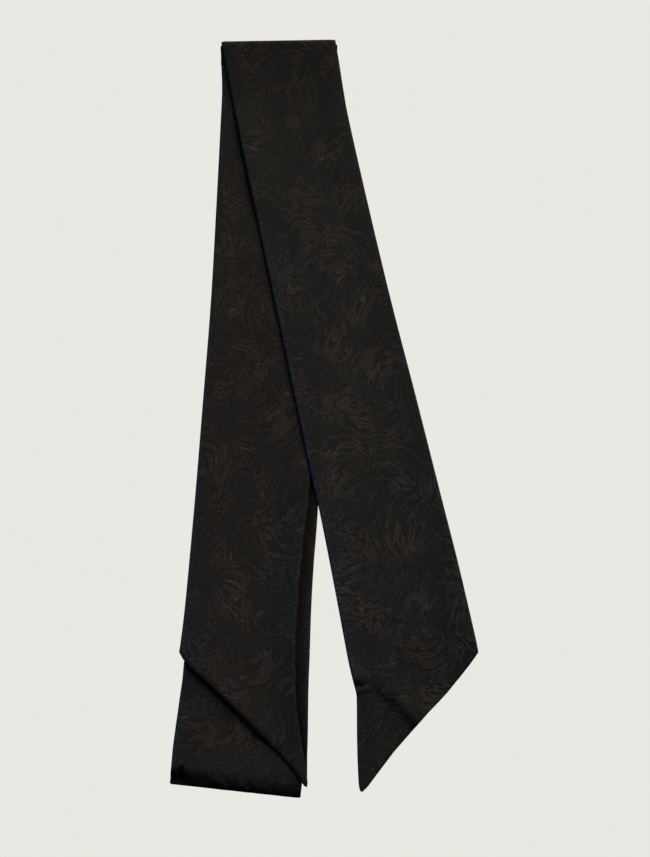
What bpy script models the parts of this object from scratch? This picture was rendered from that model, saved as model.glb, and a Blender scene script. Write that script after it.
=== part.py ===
"""A wild rag: a long, narrow neck scarf of silk jacquard, folded in four and laid flat.

One strip of silk is folded lengthwise and seamed to a flat tube. The tube lies in four stretches on
each other: the front tail on top, the under tail, and two hidden runs below it that turn into each
other at the bottom. The front tail swings to the right, off the stack and down to the table.
Every stretch is a wall of two plies; metres, +Z up, resting on Z = 0.
"""

import math
from typing import NamedTuple

import bmesh
import bpy
import numpy as np

MM = 0.001

# The band and how its plies lie on each other.
WIDTH = 89 * MM  # of the flat tube
PLY = 1.0 * MM  # one ply of silk with the loft it has when it isn't pressed
TUBE = 2 * PLY  # the front and the back ply of the flat tube
GAP = 0.3 * MM  # between two stretches that lie on each other
LAYER = TUBE + GAP
EDGE = 0.6 * MM  # how far the rounding of a long edge or a hem reaches in
EDGE_THICKNESS = 0.4  # thickness of a rounded edge, as a share of TUBE
HEM_SHARE = 0.0012  # how far a hem's rounding reaches in, as a share of its tail's length

# Heights of the middle of each lower stretch above the table, from the lowest up.
BACK_RUN_Z = TUBE / 2
LOWER_RUN_Z = BACK_RUN_Z + LAYER
UNDER_TAIL_Z = LOWER_RUN_Z + LAYER

# The turns at the top and at the bottom.
OUTER_REACH = 3.0 * MM  # how far the outer turn's middle stands out past where it begins
INNER_REACH = 1.3 * MM
BOTTOM_REACH = 3.8 * MM
OUTER_LIP = 14.0 * MM  # what a turn carries on below the stack before the hidden layers begin
INNER_LIP = 12.2 * MM
TURN_STEPS = 8

# How the front tail falls off the stack's right edge onto the table.
HANG_START = 1.5 * MM
HANG_WIDTH = 19.0 * MM

# The buckle across the front tail's tip.
RIDGE_HEIGHT = 3.4 * MM  # at the tail's left edge
RIDGE_END_HEIGHT = 1.4 * MM  # at the hem
RIDGE_HALF_WIDTH = 6.0 * MM
TIP_STARTS = 0.84  # of the tail's length, from where its rows lie closer
HEM_STARTS = 0.9  # of a tail's length, from where its rows follow the hem's line

# The seam on the under tail, beside the strip of back ply that rolled to the front.
SEAM_SHARE = 0.90  # of the width, from the left edge
SEAM_HALF_SHARE = 0.016
SEAM_THICKNESS = 0.5  # where the seam pinches the wall, as a share of TUBE

# The hidden layers' section: two rounded runs joined behind a groove along both edges.
GROOVE_DEPTH = 5.0 * MM


class Spot(NamedTuple):
    """A point that an edge passes through, seen from above, in millimetres."""

    x: float
    y: float


class HemSpot(NamedTuple):
    """How many millimetres a hem reaches past a straight cut, at a share of the width."""

    share: float
    past: float


FRONT_TAIL_LEFT = (
    Spot(-81.2, 278.4),
    Spot(-60.1, 175.9),
    Spot(-37.9, 68.4),
    Spot(-15.9, -37.6),
    Spot(-2.9, -96.9),
    Spot(7.9, -151.9),
    Spot(15.3, -193.1),
    Spot(18.6, -207.1),
    Spot(20.6, -214.8),
    Spot(21.1, -221.1),
    Spot(21.1, -246.7),
    Spot(21.5, -266.3),
    Spot(22.1, -277.0),
    Spot(23.3, -279.7),
)
FRONT_TAIL_RIGHT = (
    Spot(7.6, 280.0),
    Spot(8.8, 272.4),
    Spot(10.2, 263.4),
    Spot(13.6, 239.8),
    Spot(17.9, 215.8),
    Spot(31.2, 150.6),
    Spot(48.4, 70.2),
    Spot(66.3, -6.9),
    Spot(83.1, -80.8),
    Spot(92.9, -123.8),
    Spot(98.8, -151.9),
    Spot(104.4, -179.5),
    Spot(105.5, -186.7),
)
UNDER_TAIL_LEFT = (
    Spot(-82.0, 277.3),
    Spot(-81.4, 263.9),
    Spot(-80.4, 239.9),
    Spot(-80.8, 211.9),
    Spot(-82.4, 148.5),
    Spot(-84.9, 68.5),
    Spot(-88.9, -8.1),
    Spot(-92.9, -81.7),
    Spot(-97.6, -152.3),
    Spot(-100.3, -179.8),
    Spot(-101.3, -187.6),
)
UNDER_TAIL_RIGHT = (
    Spot(9.0, 278.3),
    Spot(7.6, 246.9),
    Spot(6.3, 215.3),
    Spot(4.0, 149.3),
    Spot(0.9, 69.4),
    Spot(-2.7, -7.7),
    Spot(-5.5, -84.6),
    Spot(-8.3, -124.4),
    Spot(-9.7, -152.3),
    Spot(-11.1, -185.2),
    Spot(-12.1, -220.1),
    Spot(-12.5, -248.1),
    Spot(-12.6, -276.5),
)
LOWER_RUN_LEFT = (
    Spot(-96.6, -178.1),
    Spot(-98.0, -195.1),
    Spot(-98.8, -206.8),
    Spot(-100.4, -220.2),
    Spot(-103.3, -246.6),
    Spot(-104.9, -261.1),
    Spot(-105.1, -270.8),
)
LOWER_RUN_RIGHT = (
    Spot(-10.4, -186.7),
    Spot(-11.4, -213.1),
    Spot(-12.4, -248.1),
    Spot(-14.4, -270.1),
    Spot(-16.6, -279.3),
)
HIDDEN_LEFT = (
    Spot(-81.0, 264.0),
    Spot(-79.8, 239.9),
    Spot(-79.8, 211.9),
    Spot(-81.2, 148.5),
    Spot(-83.8, 68.5),
    Spot(-87.6, -8.1),
    Spot(-91.4, -81.7),
    Spot(-95.0, -152.3),
    Spot(-96.6, -177.8),
)
HIDDEN_RIGHT = (
    Spot(8.0, 265.6),
    Spot(5.4, 215.3),
    Spot(2.9, 149.3),
    Spot(-0.2, 69.4),
    Spot(-3.8, -7.7),
    Spot(-6.6, -84.6),
    Spot(-9.4, -152.3),
    Spot(-10.4, -186.4),
)
FRONT_HEM = (
    HemSpot(0.0, 0.0),
    HemSpot(0.01, 1.1),
    HemSpot(0.05, 1.5),
    HemSpot(0.15, 0.6),
    HemSpot(0.28, -0.35),
    HemSpot(0.43, 0.0),
    HemSpot(0.56, 0.95),
    HemSpot(0.64, 1.75),
    HemSpot(0.72, 2.2),
    HemSpot(0.85, 1.9),
    HemSpot(0.93, 1.4),
    HemSpot(1.0, 0.0),
)
UNDER_HEM = (
    HemSpot(0.0, 0.0),
    HemSpot(0.03, 2.0),
    HemSpot(0.05, 2.9),
    HemSpot(0.1, 2.6),
    HemSpot(0.17, 1.8),
    HemSpot(0.33, 0.5),
    HemSpot(0.51, -0.8),
    HemSpot(0.79, -1.25),
    HemSpot(0.89, -0.9),
    HemSpot(0.955, 1.4),
    HemSpot(0.98, 1.6),
    HemSpot(1.0, 0.4),
)
RIDGE_LINE = (
    Spot(21.4, -213.2),
    Spot(31.6, -209.7),
    Spot(40.6, -213.2),
    Spot(50.6, -222.2),
    Spot(60.4, -235.0),
)


def smooth_line(spots, steps=10):
    """Points in metres on a Catmull-Rom curve through the spots, steps of them to each piece."""
    knots = np.array(spots) * MM
    knots = np.vstack([2 * knots[0] - knots[1], knots, 2 * knots[-1] - knots[-2]])
    points = []
    for before, start, end, after in zip(knots, knots[1:], knots[2:], knots[3:]):
        for t in np.arange(steps) / steps:
            points.append(
                0.5
                * (
                    2 * start
                    + (end - before) * t
                    + (2 * before - 5 * start + 4 * end - after) * t**2
                    + (3 * start - before - 3 * end + after) * t**3
                )
            )
    points.append(knots[-2])
    return np.array(points)


def points_at(line, shares):
    """The points of a line at these shares of its length."""
    lengths = np.hypot(*np.diff(line, axis=0).T)
    along = np.concatenate([[0.0], np.cumsum(lengths)]) / lengths.sum()
    return np.stack([np.interp(shares, along, line[:, axis]) for axis in (0, 1)], axis=1)


def shares_with_edges(count, length):
    """count even steps from 0 to 1, with one more step for the rounding at each end."""
    edge = EDGE / length
    return np.concatenate([[0.0], np.linspace(edge, 1 - edge, count + 1), [1.0]])


def flat_stretch(left, right, across, down):
    """Rows of a stretch seen from above, between its two long edges: an array of rows, columns, xy."""
    starts = points_at(smooth_line(left), down)[:, None, :]
    ends = points_at(smooth_line(right), down)[:, None, :]
    return starts + (ends - starts) * across[None, :, None]


def with_hem(rows, across, down, hem):
    """The rows with the last ones carried on, or held back, to follow the hem's own line."""
    last_step = rows[-1] - rows[-2]
    direction = last_step / np.linalg.norm(last_step, axis=1)[:, None]
    past = np.interp(across, *np.array(hem).T) * MM
    weight = np.clip((down - HEM_STARTS) / (1 - HEM_STARTS), 0, 1) ** 2
    return rows + weight[:, None, None] * (direction * past[:, None])[None]


def with_height(rows, height):
    """The rows with a Z, which is a number or an array of one for each point."""
    heights = np.broadcast_to(height, rows.shape[:2])
    return np.concatenate([rows, heights[:, :, None]], axis=2)


def turned(rows, reach, low_z, lip):
    """The rows with a half turn and a lip set before the first one, down to low_z."""
    first = rows[0]
    high_z = first[:, 2]
    outward = np.array([0.0, 1.0, 0.0])
    lip_middle = first - outward * (lip - EDGE)
    lip_end = first - outward * lip
    turn = []
    for angle in np.linspace(math.pi, 0, TURN_STEPS + 1)[:-1]:
        row = first + outward * reach * math.sin(angle)
        row[:, 2] = (high_z + low_z) / 2 + (high_z - low_z) / 2 * math.cos(angle)
        turn.append(row)
    for row in (lip_end, lip_middle):
        row[:, 2] = low_z
    return np.concatenate([np.array([lip_end, lip_middle, *turn]), rows])


def height_below_front_tail(rows):
    """How high the front tail's underside lies: on the stack, then falling to the table beside it."""
    edge = smooth_line(UNDER_TAIL_RIGHT)[::-1]
    outside = rows[:, :, 0] - np.interp(rows[:, :, 1], edge[:, 1], edge[:, 0])
    share = np.clip((outside - HANG_START) / HANG_WIDTH, 0, 1)
    return 3 * LAYER * (1 - share**2 * (3 - 2 * share))


def ridge_height(rows):
    """How far the buckle across the tip lifts each point."""
    line = smooth_line(RIDGE_LINE)
    away = np.linalg.norm(rows[:, :, None, :] - line, axis=3)
    along = away.argmin(axis=2) / (len(line) - 1)
    crest = RIDGE_HEIGHT + (RIDGE_END_HEIGHT - RIDGE_HEIGHT) * along
    near = np.clip(1 - (away.min(axis=2) / RIDGE_HALF_WIDTH) ** 2, 0, 1)
    return crest * near**2


def srgb(hex_code):
    """A linear RGBA colour from its sRGB hex code."""
    channels = [int(hex_code[i : i + 2], 16) / 255 for i in (1, 3, 5)]
    linear = [c / 12.92 if c <= 0.04045 else ((c + 0.055) / 1.055) ** 2.4 for c in channels]
    return (*linear, 1.0)


def silk(name, hex_code, roughness):
    """Black silk: a dark, soft, slightly warm cloth."""
    material = bpy.data.materials.new(name)
    material.use_nodes = True
    shader = material.node_tree.nodes["Principled BSDF"]
    shader.inputs["Base Color"].default_value = srgb(hex_code)
    shader.inputs["Roughness"].default_value = roughness
    shader.inputs["Metallic"].default_value = 0.0
    return material


def add_object(name, points, faces, material, collection):
    """A mesh object of these points and faces, with its material."""
    mesh = bpy.data.meshes.new(name)
    mesh.from_pydata([tuple(map(float, point)) for point in points], [], faces)
    mesh.materials.append(material)
    obj = bpy.data.objects.new(name, mesh)
    collection.objects.link(obj)
    return obj


def grid_faces(rows, columns):
    """Quads between neighbouring rows of points, facing up where rows run down and columns right."""
    return [
        (r * columns + c, (r + 1) * columns + c, (r + 1) * columns + c + 1, r * columns + c + 1)
        for r in range(rows - 1)
        for c in range(columns - 1)
    ]


def add_stretch(name, middle, material, collection, seam_column=None):
    """A stretch of the tube: its middle surface, given a wall that is thinner along rim and seam."""
    rows, columns = middle.shape[:2]
    faces = grid_faces(rows, columns)
    obj = add_object(name, middle.reshape(-1, 3), faces, material, collection)
    thickness = obj.vertex_groups.new(name="thickness")
    for column in range(1, columns - 1):
        inner = [row * columns + column for row in range(1, rows - 1)]
        thickness.add(inner, SEAM_THICKNESS if column == seam_column else 1.0, "REPLACE")
    rim = [i for i in range(rows * columns) if i % columns in (0, columns - 1)]
    rim += [*range(columns), *range((rows - 1) * columns, rows * columns)]
    thickness.add(rim, EDGE_THICKNESS, "REPLACE")
    wall = obj.modifiers.new("wall", "SOLIDIFY")
    wall.thickness = TUBE
    wall.offset = 0.0
    wall.vertex_group = thickness.name
    return obj


def front_tail(material, collection):
    """The upper end, with the outer turn at the top, its fall to the table and its buckled tip."""
    across = shares_with_edges(18, WIDTH)
    coarse = np.linspace(0, TIP_STARTS, 48)
    fine = np.linspace(TIP_STARTS, 1 - HEM_SHARE, 27)
    down = np.concatenate([coarse, fine[1:], [1.0]])
    flat = flat_stretch(FRONT_TAIL_LEFT, FRONT_TAIL_RIGHT, across, down)
    flat = with_hem(flat, across, down, FRONT_HEM)
    height = TUBE / 2 + height_below_front_tail(flat) + ridge_height(flat)
    rows = turned(with_height(flat, height), OUTER_REACH, BACK_RUN_Z, OUTER_LIP)
    return add_stretch("front_tail", rows, material, collection)


def under_tail(material, collection):
    """The other end, with the inner turn at the top and the seam pinched in near its right edge."""
    body = shares_with_edges(8, WIDTH)[:-2]
    seam = SEAM_SHARE + SEAM_HALF_SHARE * np.array([-1, 0, 1])
    across = np.concatenate([body, seam, [1 - EDGE / WIDTH, 1]])
    down = np.concatenate([np.linspace(0, 1 - HEM_SHARE, 54), [1.0]])
    flat = flat_stretch(UNDER_TAIL_LEFT, UNDER_TAIL_RIGHT, across, down)
    flat = with_hem(flat, across, down, UNDER_HEM)
    rows = turned(with_height(flat, UNDER_TAIL_Z), INNER_REACH, LOWER_RUN_Z, INNER_LIP)
    return add_stretch("under_tail", rows, material, collection, seam_column=len(body) + 1)


def lower_run(material, collection):
    """The stretch below the under tail's hem, turned under at the bottom and running back."""
    across = shares_with_edges(10, WIDTH)
    down = shares_with_edges(10, WIDTH)
    flat = flat_stretch(LOWER_RUN_LEFT, LOWER_RUN_RIGHT, across, down)
    upper = with_height(flat, LOWER_RUN_Z)
    lower = with_height(flat, BACK_RUN_Z)
    fold = flat[-1, -1] - flat[-1, 0]
    outward = np.array([fold[1], -fold[0]]) / np.hypot(*fold)
    turn = []
    for angle in np.linspace(0, math.pi, TURN_STEPS + 1)[1:-1]:
        row = upper[-1].copy()
        row[:, :2] += outward * BOTTOM_REACH * math.sin(angle)
        row[:, 2] = (LOWER_RUN_Z + BACK_RUN_Z) / 2 + LAYER / 2 * math.cos(angle)
        turn.append(row)
    rows = np.concatenate([upper[:-2], upper[-1:], turn, lower[-1:], lower[-3::-1]])
    return add_stretch("lower_run", rows, material, collection)


def hidden_layers(material, collection):
    """The two runs below the under tail, in one solid with a groove between them at both edges."""
    low, high = TUBE, TUBE + GAP
    top = TUBE + LAYER
    left_side = (
        (EDGE, 0.0),
        (0.0, EDGE),
        (0.0, low - EDGE),
        (EDGE, low),
        (GROOVE_DEPTH, low),
        (GROOVE_DEPTH, high),
        (EDGE, high),
        (0.0, high + EDGE),
        (0.0, top - EDGE),
        (EDGE, top),
    )
    shares = np.linspace(0, 1, 30)
    lefts = points_at(smooth_line(HIDDEN_LEFT), shares)
    rights = points_at(smooth_line(HIDDEN_RIGHT), shares)
    rings = []
    for left, right in zip(lefts, rights):
        inward = (right - left) / np.hypot(*(right - left))
        ring = [(*(left + inward * reach), z) for reach, z in left_side]
        ring += [(*(right - inward * reach), z) for reach, z in reversed(left_side)]
        rings.append(ring)
    size = len(rings[0])
    faces = [
        (r * size + c, r * size + (c + 1) % size, (r + 1) * size + (c + 1) % size, (r + 1) * size + c)
        for r in range(len(rings) - 1)
        for c in range(size)
    ]
    last = (len(rings) - 1) * size
    faces += [tuple(range(size - 1, -1, -1)), tuple(range(last, last + size))]
    points = [point for ring in rings for point in ring]
    return add_object("hidden_layers", points, faces, material, collection)


def face_outwards(obj):
    """Turns all the faces of a closed mesh outwards."""
    mesh = bmesh.new()
    mesh.from_mesh(obj.data)
    bmesh.ops.recalc_face_normals(mesh, faces=mesh.faces)
    mesh.to_mesh(obj.data)
    mesh.free()


def build():
    """Clears the scene and builds the four stretches in their own collection."""
    for obj in list(bpy.data.objects):
        bpy.data.objects.remove(obj, do_unlink=True)
    collection = bpy.data.collections.new("wild_rag")
    bpy.context.scene.collection.children.link(collection)
    front_silk = silk("jacquard_silk", "#221F1C", 0.55)
    back_silk = silk("jacquard_silk_hidden", "#1D1B19", 0.6)
    front_tail(front_silk, collection)
    under_tail(front_silk, collection)
    lower_run(front_silk, collection)
    face_outwards(hidden_layers(back_silk, collection))


build()
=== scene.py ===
"""The looks of a wild rag: a long, narrow silk scarf, folded in four and laid flat.

One strip of black-on-black jacquard silk is sewn to a flat tube. Its four stretches lie on each
other: the front tail, swung to the right and down to the table, the under tail with its seam near
the right edge, and two runs below that turn into each other at the bottom. Metres, +Z up.
"""

import logging
import math
from collections.abc import Callable, Sequence
from dataclasses import dataclass
from enum import Enum
from functools import partial
from typing import NamedTuple

import bpy
import numpy as np
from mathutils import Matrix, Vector, noise


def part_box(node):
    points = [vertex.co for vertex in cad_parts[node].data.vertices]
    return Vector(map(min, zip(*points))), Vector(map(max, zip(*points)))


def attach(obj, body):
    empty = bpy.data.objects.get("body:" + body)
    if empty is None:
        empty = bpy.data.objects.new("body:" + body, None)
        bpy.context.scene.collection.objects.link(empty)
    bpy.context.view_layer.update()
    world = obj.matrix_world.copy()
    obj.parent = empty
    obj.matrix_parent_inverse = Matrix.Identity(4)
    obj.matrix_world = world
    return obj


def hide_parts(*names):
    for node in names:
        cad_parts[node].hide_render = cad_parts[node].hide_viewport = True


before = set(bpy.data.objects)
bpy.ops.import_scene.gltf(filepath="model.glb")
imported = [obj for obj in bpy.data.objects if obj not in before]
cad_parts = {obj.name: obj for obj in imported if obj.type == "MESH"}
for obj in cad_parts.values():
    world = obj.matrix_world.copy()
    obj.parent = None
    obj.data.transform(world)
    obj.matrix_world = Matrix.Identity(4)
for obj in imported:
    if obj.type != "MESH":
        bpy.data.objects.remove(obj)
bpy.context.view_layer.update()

MM = 0.001
NO_SEAM = -1.0
Pairs = tuple[tuple[float, float], ...]
"""Points of a line seen from above, or a value and where it holds, in millimetres."""
log = logging.getLogger("wild_rag")


class Ply(Enum):
    """Which ply of the tube lies up."""

    FRONT = 1.0
    BACK = -1.0


@dataclass(frozen=True)
class Band:
    """The sewn tube that the whole scarf is made of.

    Attributes:
        width: Width of the flat tube.
        ply: Thickness of one ply of silk.
        half_height: How far each ply stands off the middle of the flat tube.
        rim_height: The same just inside its edges, which are pressed flatter.
        rim_widths: How far in from the left and the right edge the full height begins.
        roll: How far in from an edge its rounding reaches.
    """

    width: float = 89 * MM
    ply: float = 0.3 * MM
    half_height: float = 0.95 * MM
    rim_height: float = 0.62 * MM
    rim_widths: tuple[float, float] = (2.5 * MM, 4.5 * MM)
    roll: float = 1.0 * MM

    def edge_lines(self) -> np.ndarray:
        """Distances from an edge of the lines along its rounding, from the edge inwards."""
        return self.roll * (1 - np.cos(np.linspace(0, math.pi / 2, 7)))

    def columns(self, rows: int, step: float) -> np.ndarray:
        """Distances from the left edge of the lines along the band, closer at both edges.

        Args:
            rows: How many rows the grid has.
            step: Spacing of the lines in the middle of the band.

        Returns:
            The distances, from 0 to the width, rows by columns.
        """
        edge = self.edge_lines()
        middle = np.linspace(self.roll, self.width - self.roll, round(self.width / step))
        lines = np.concatenate([edge[:-1], middle, self.width - edge[-2::-1]])
        return np.broadcast_to(lines, (rows, len(lines)))

    def rounding(self, distance: np.ndarray, roll: np.ndarray | float | None = None) -> np.ndarray:
        """The share of its full height that the tube has at a distance from an edge or a hem."""
        inward = np.clip(distance / (self.roll if roll is None else roll), 0, 1)
        return np.sqrt(1 - (1 - inward) ** 2)


class Strip(NamedTuple):
    """A stretch of the band as a grid: rows run down it, columns across.

    Attributes:
        middle: Points of the middle surface, rows by columns by xyz.
        across: Distance of each point from the left edge, rows by columns.
        along: Distance of each point along the cloth, rows by columns.
        hem_rise: Share of the tube's height that each point has by its distance from the hem, or
            None where the stretch runs on at both ends.
    """

    middle: np.ndarray
    across: np.ndarray
    along: np.ndarray
    hem_rise: np.ndarray | None


def smooth_line(spots: Pairs, steps: int = 16) -> np.ndarray:
    """Points in metres on a Catmull-Rom curve through the spots.

    Args:
        spots: The points that the curve passes through.
        steps: How many pieces lie between each two.

    Returns:
        The curve's points, one row of x and y for each.
    """
    knots = np.array(spots) * MM
    knots = np.vstack([2 * knots[0] - knots[1], knots, 2 * knots[-1] - knots[-2]])
    t = (np.arange(steps) / steps)[:, None]
    pieces = [
        0.5
        * (
            2 * start
            + (end - before) * t
            + (2 * before - 5 * start + 4 * end - after) * t**2
            + (3 * start - before - 3 * end + after) * t**3
        )
        for before, start, end, after in zip(knots, knots[1:], knots[2:], knots[3:])
    ]
    return np.vstack([*pieces, knots[-2:-1]])


def length_of(line: np.ndarray) -> float:
    """The length of a line of points."""
    return float(np.linalg.norm(np.diff(line, axis=0), axis=1).sum())


def points_at(line: np.ndarray, shares: np.ndarray) -> np.ndarray:
    """The points of a line at these shares of its length."""
    steps = np.linalg.norm(np.diff(line, axis=0), axis=1)
    along = np.concatenate([[0.0], np.cumsum(steps)]) / steps.sum()
    return np.stack([np.interp(shares, along, line[:, axis]) for axis in (0, 1)], axis=1)


def smoothstep(values: np.ndarray) -> np.ndarray:
    """0 below 0, 1 above 1 and a soft slope between."""
    t = np.clip(values, 0, 1)
    return t * t * (3 - 2 * t)


def unevenness(points: np.ndarray, size: float, seed: float) -> np.ndarray:
    """Soft random heights from -1 to 1 over points seen from above.

    Args:
        points: Rows by columns by x and y.
        size: The distance over which the heights change.
        seed: Picks another set of heights.

    Returns:
        One height for each point.
    """
    flat = points.reshape(-1, points.shape[-1])
    heights = [noise.noise(Vector((x / size, y / size, seed))) for x, y in flat[:, :2]]
    return np.array(heights).reshape(points.shape[:-1])


def between(
    left: Pairs, right: Pairs, down: np.ndarray, across: np.ndarray
) -> np.ndarray:
    """A grid between two long edges, seen from above.

    Args:
        left: The left edge.
        right: The right edge.
        down: Shares of both edges' lengths at which the rows lie.
        across: Shares of the way from left to right, rows by columns.

    Returns:
        Its points, rows by columns by x and y.
    """
    starts = points_at(smooth_line(left), down)[:, None, :]
    ends = points_at(smooth_line(right), down)[:, None, :]
    return starts + (ends - starts) * across[..., None]


def with_hem(
    grid: np.ndarray, across: np.ndarray, down: np.ndarray, hem: Pairs
) -> np.ndarray:
    """The grid with its last tenth carried on, or held back, to follow the hem's own line.

    Args:
        grid: Points seen from above, rows by columns by x and y.
        across: Shares of the way from left to right, rows by columns.
        down: Share of the length at which each row lies.
        hem: How far it reaches past a straight cut, at shares of the width.

    Returns:
        The moved points.
    """
    last_step = grid[-1] - grid[-2]
    direction = last_step / np.linalg.norm(last_step, axis=1)[:, None]
    past = np.interp(across[-1], *np.array(hem).T) * MM
    weight = np.clip((down - 0.9) / 0.1, 0, 1) ** 2
    return grid + weight[:, None, None] * (direction * past[:, None])[None]


def rows_to_hem(length: float, step: float, roll: float, fine: Sequence[float] = ()) -> np.ndarray:
    """Shares of a length at which rows lie, closer at the hem and between fine[0] and fine[1].

    Args:
        length: The length of the stretch.
        step: Spacing of most rows.
        roll: How far in from the hem its rounding reaches.
        fine: Start and end, as shares, of a part with rows a quarter as far apart.

    Returns:
        The sorted shares, from 0 to 1.
    """
    hem = 1 - roll * (1 - np.cos(np.linspace(0, math.pi / 2, 11))) / length
    shares = [np.linspace(0, hem.min(), round(length / step)), hem]
    if fine:
        shares.append(np.linspace(*fine, round((fine[1] - fine[0]) * length / step * 4)))
    return np.unique(np.round(np.concatenate(shares), 6))


def distance_down(rows: np.ndarray) -> np.ndarray:
    """Distance of each point from the first row, measured along the cloth."""
    steps = np.linalg.norm(np.diff(rows, axis=0), axis=-1)
    return np.concatenate([np.zeros((1, rows.shape[1])), np.cumsum(steps, axis=0)])


@dataclass(frozen=True)
class Fold:
    """A soft ridge, or a trough where its height is below zero, along a line on the cloth.

    Attributes:
        spots: The line, in millimetres.
        height: Height at its start, in millimetres, like all its sizes.
        end_height: Height at its end.
        width: Half width at which it has fallen to a third, at its start.
        end_width: The same at its end, or None where it stays as wide.
        lean: How much steeper its left side is, from -1 to 1, seen along the line.
        fade: Share of the line's length over which each end dies out; 0 where it meets an edge.
    """

    spots: Pairs
    height: float
    end_height: float
    width: float
    lean: float = 0.0
    fade: tuple[float, float] = (0.25, 0.25)
    end_width: float | None = None

    def lift(self, points: np.ndarray) -> np.ndarray:
        """How far it lifts each of the points, which are rows by columns by x and y."""
        line = smooth_line(self.spots, 10)
        steps = np.diff(line, axis=0)
        lengths = np.linalg.norm(steps, axis=1)
        starts = np.concatenate([[0.0], np.cumsum(lengths)[:-1]]) / lengths.sum()
        nearest = np.full(points.shape[:2], np.inf)
        share = np.zeros(points.shape[:2])
        side = np.zeros(points.shape[:2])
        for start, step, length, begin in zip(line, steps, lengths, starts):
            offset = points - start
            t = np.clip((offset @ step) / length**2, 0, 1)
            away = np.linalg.norm(offset - t[..., None] * step, axis=-1)
            closer = away < nearest
            nearest = np.where(closer, away, nearest)
            share = np.where(closer, begin + t * length / lengths.sum(), share)
            cross = step[0] * offset[..., 1] - step[1] * offset[..., 0]
            side = np.where(closer, np.sign(cross), side)
        widening = 0.0 if self.end_width is None else self.end_width - self.width
        width = (self.width + widening * share) * MM * (1 - self.lean * side * 0.5)
        height = (self.height + (self.end_height - self.height) * share) * MM
        for fade, from_end in zip(self.fade, (share, 1 - share)):
            if fade:
                height = height * smoothstep(from_end / fade)
        return height * np.exp(-((nearest / width) ** 2))


def lift_of(folds: tuple[Fold, ...], points: np.ndarray) -> np.ndarray:
    """How far all of these folds together lift each of the points."""
    return sum(fold.lift(points) for fold in folds)


class TubeMaker:
    """Makes a stretch of the sewn tube from its grid: two plies, closed along both edges."""

    def __init__(self, band: Band) -> None:
        """Keeps the band's sizes."""
        self.band = band

    def build(
        self,
        name: str,
        strip: Strip,
        top_lift: np.ndarray | float = 0.0,
        up: Ply = Ply.FRONT,
        past_seam: np.ndarray | None = None,
    ) -> bpy.types.Object:
        """Builds the tube, open at its first row and sewn shut at its hem.

        Args:
            name: Name of the piece.
            strip: The grid of the stretch.
            top_lift: How far the upper ply stands out more at each point, in metres.
            up: The ply that lies up.
            past_seam: How far to the right of the seam each point lies, if there is one.

        Returns:
            The finished piece, at the origin.
        """
        band = self.band
        rows, columns = strip.middle.shape[:2]
        to_edge = np.minimum(strip.across, band.width - strip.across)
        shape = band.rounding(to_edge)
        from_left, from_right = band.rim_widths
        inner = np.minimum(strip.across / from_left, (band.width - strip.across) / from_right)
        inner = 1 - (1 - np.clip(inner, 0, 1)) ** 2
        if strip.hem_rise is not None:
            shape = shape * strip.hem_rise
            inner = inner * strip.hem_rise
        half = shape * (band.rim_height + (band.half_height - band.rim_height) * inner)
        normals = self.normals(strip.middle)
        top = strip.middle + normals * (half + top_lift * shape)[..., None]
        bottom = strip.middle - normals * half[..., None]
        last = rows - 1 if strip.hem_rise is not None else rows
        index_top = np.arange(rows * columns).reshape(rows, columns)
        index_bottom = index_top.copy()
        inside = np.zeros((rows, columns), bool)
        inside[:last, 1:-1] = True
        index_bottom[inside] = rows * columns + np.arange(inside.sum())
        points = np.concatenate([top.reshape(-1, 3), bottom[inside]])
        faces, cloth = [], []
        for index, sign, flip in ((index_top, up.value, False), (index_bottom, -up.value, True)):
            quads = np.stack(
                [index[:-1, :-1], index[1:, :-1], index[1:, 1:], index[:-1, 1:]], axis=-1
            ).reshape(-1, 4)
            place = np.stack([sign * strip.across, strip.along], axis=-1)
            corners = np.stack(
                [place[:-1, :-1], place[1:, :-1], place[1:, 1:], place[:-1, 1:]], axis=2
            ).reshape(-1, 4, 2)
            if flip:
                quads, corners = quads[:, ::-1], corners[:, ::-1]
            faces.append(quads)
            cloth.append(corners)
        seam = np.full(len(points), NO_SEAM)
        if past_seam is not None:
            seam[: rows * columns] = past_seam.reshape(-1)
        return self.to_object(name, points, np.concatenate(faces), np.concatenate(cloth), seam)

    @staticmethod
    def normals(middle: np.ndarray) -> np.ndarray:
        """Unit normals of a grid, up where rows run down and columns to the right."""
        down = np.gradient(middle, axis=0)
        right = np.gradient(middle, axis=1)
        across = np.cross(down, right)
        return across / np.maximum(np.linalg.norm(across, axis=-1, keepdims=True), 1e-12)

    def to_object(
        self, name: str, points: np.ndarray, faces: np.ndarray, cloth: np.ndarray, seam: np.ndarray
    ) -> bpy.types.Object:
        """A shaded mesh object with its cloth coordinates, its plies given their thickness.

        Args:
            name: Name of the piece.
            points: Its points.
            faces: Its quads.
            cloth: Where each quad's corners lie on the cloth, in metres.
            seam: How far to the right of the seam each point lies.

        Returns:
            The object, linked to the scene.
        """
        mesh = bpy.data.meshes.new(name)
        mesh.from_pydata(points.tolist(), [], faces.tolist())
        layer = mesh.uv_layers.new(name="cloth")
        layer.uv.foreach_set("vector", cloth.reshape(-1).astype(np.float32))
        distances = mesh.attributes.new("past_seam", "FLOAT", "POINT")
        distances.data.foreach_set("value", (seam / MM).astype(np.float32))
        mesh.shade_smooth()
        piece = bpy.data.objects.new(name, mesh)
        bpy.context.scene.collection.objects.link(piece)
        wall = piece.modifiers.new("ply", "SOLIDIFY")
        wall.thickness = self.band.ply
        wall.offset = -1.0
        bpy.ops.object.select_all(action="DESELECT")
        piece.select_set(True)
        bpy.context.view_layer.objects.active = piece
        bpy.ops.object.modifier_apply(modifier=wall.name)
        return piece


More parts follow.
